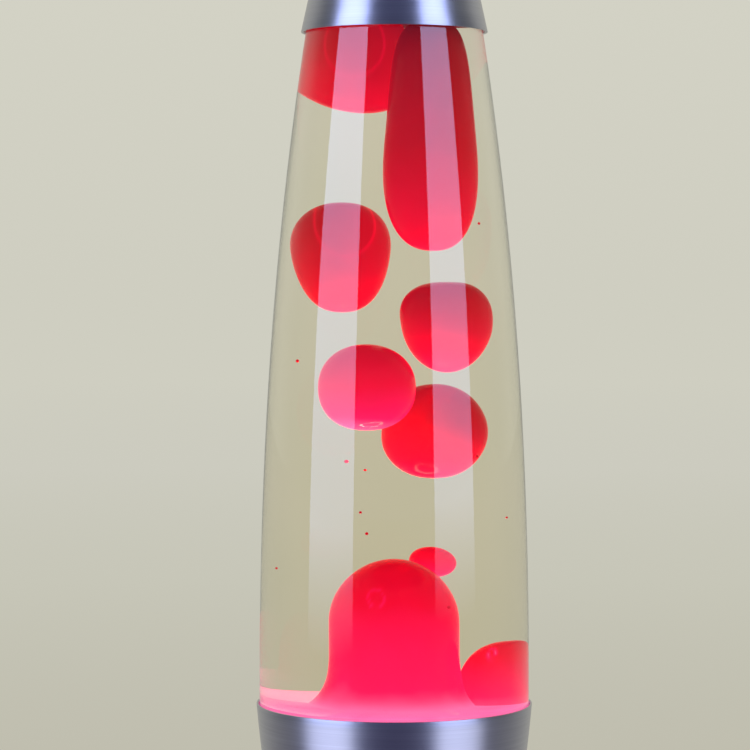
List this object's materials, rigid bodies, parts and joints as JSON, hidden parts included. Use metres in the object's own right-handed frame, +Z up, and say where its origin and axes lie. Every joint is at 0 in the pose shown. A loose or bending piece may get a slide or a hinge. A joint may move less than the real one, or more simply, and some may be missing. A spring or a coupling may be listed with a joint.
{
  "type": "lava lamp",
  "caption": "Wax-motion lamp: hourglass brushed aluminium base with bulb, tapering glass globe of clear liquid and red wax, and a lift-off metal cap.",
  "frame": {"origin": "middle of the footprint, on the surface that the lamp stands on", "axes": "+Z up along the lamp's axis, the cord's inlet at +Y, the front at -Y"},
  "size_m": [0.0944, 0.0944, 0.368],
  "materials": {
    "brushed_aluminium": "spun, finely brushed round the axis",
    "zinc_steel": "zinc plated",
    "brass": "stamped, dull",
    "spring_wire": "drawn wire",
    "tungsten": "coiled wire",
    "globe_glass": "clear, blown, glossy",
    "bulb_glass": "clear, thin",
    "clear_liquid": "clear liquid, faintly yellow",
    "red_wax": "translucent molten wax, lit from below",
    "black_rubber": "matt",
    "black_plastic": "moulded, fine texture",
    "black_glass": "fused, glossy",
    "porcelain": "unglazed white",
    "closure_metal": "tinplate",
    "closure_liner": "soft sealing liner"
  },
  "bodies": {
    "base": {"base_cup": "brushed_aluminium", "base_foot": "brushed_aluminium", "cord_grommet": "black_rubber", "holder_bracket": "zinc_steel", "bracket_screw_1": "zinc_steel", "bracket_screw_2": "zinc_steel", "bracket_nut_1": "zinc_steel", "bracket_nut_2": "zinc_steel", "cover_screw_1": "zinc_steel", "cover_screw_2": "zinc_steel", "holder_screw_1": "zinc_steel", "holder_screw_2": "zinc_steel", "lamp_holder_body": "porcelain", "lamp_holder_socket": "brass", "lamp_holder_contact": "brass", "bottom_cover": "black_plastic", "rubber_foot_1": "black_rubber", "rubber_foot_2": "black_rubber", "rubber_foot_3": "black_rubber", "rubber_foot_4": "black_rubber"},
    "bulb_screw": {"bulb_screw_cap": "brass"},
    "bulb": {"bulb_glass": "bulb_glass", "bulb_insulator": "black_glass", "bulb_tip_contact": "brass", "bulb_mount": "bulb_glass", "bulb_lead_wire_1": "spring_wire", "bulb_lead_wire_2": "spring_wire", "bulb_filament": "tungsten"},
    "globe": {"globe_glass": "globe_glass", "bottle_closure": "closure_metal", "closure_liner": "closure_liner", "wax_coil": "spring_wire", "wax_pool": "red_wax", "clear_liquid": "clear_liquid"},
    "cap": {"top_cap": "brushed_aluminium"},
    "top_wax": {"wax_mass_top": "red_wax"},
    "long_wax": {"wax_drop_long": "red_wax"},
    "left_wax": {"wax_blob_left": "red_wax"},
    "right_wax": {"wax_blob_right": "red_wax"},
    "middle_wax": {"wax_blob_middle": "red_wax"},
    "low_wax": {"wax_blob_low": "red_wax"},
    "small_wax": {"wax_bead": "red_wax"}
  },
  "joints": [
    {"name": "globe_lift", "type": "slide", "parent": "base", "child": "globe", "axis": [0, 0, 1], "range_m": [0, 0.06]},
    {"name": "cap_lift", "type": "slide", "parent": "globe", "child": "cap", "axis": [0, 0, 1], "range_m": [0, 0.06]},
    {"name": "bulb_rise", "type": "slide", "parent": "base", "child": "bulb_screw", "axis": [0, 0, 1], "range_m": [0, 0.00283]},
    {"name": "bulb_turn", "type": "hinge", "parent": "bulb_screw", "child": "bulb", "pos_m": [0, 0, 0.06], "axis": [0, 0, 1], "range_deg": [0, 360]},
    {"name": "top_wax_drift", "type": "slide", "parent": "globe", "child": "top_wax", "axis": [0, 0, 1], "range_m": [-0.004, 0.0015]},
    {"name": "long_wax_drift", "type": "slide", "parent": "globe", "child": "long_wax", "axis": [0, 0, 1], "range_m": [-0.0015, 0.002]},
    {"name": "left_wax_drift", "type": "slide", "parent": "globe", "child": "left_wax", "axis": [0, 0, 1], "range_m": [-0.004, 0.012]},
    {"name": "right_wax_drift", "type": "slide", "parent": "globe", "child": "right_wax", "axis": [0, 0, 1], "range_m": [-0.0012, 0.006]},
    {"name": "middle_wax_drift", "type": "slide", "parent": "globe", "child": "middle_wax", "axis": [0, 0, 1], "range_m": [-0.015, 0.005]},
    {"name": "low_wax_drift", "type": "slide", "parent": "globe", "child": "low_wax", "axis": [0, 0, 1], "range_m": [-0.006, 0.0012]},
    {"name": "small_wax_drift", "type": "slide", "parent": "globe", "child": "small_wax", "axis": [0, 0, 1], "range_m": [-0.003, 0.01]}
  ],
  "couplings": [
    {"joint": "bulb_turn", "follows": "bulb_rise", "rad_per_m": 2222.2}
  ]
}
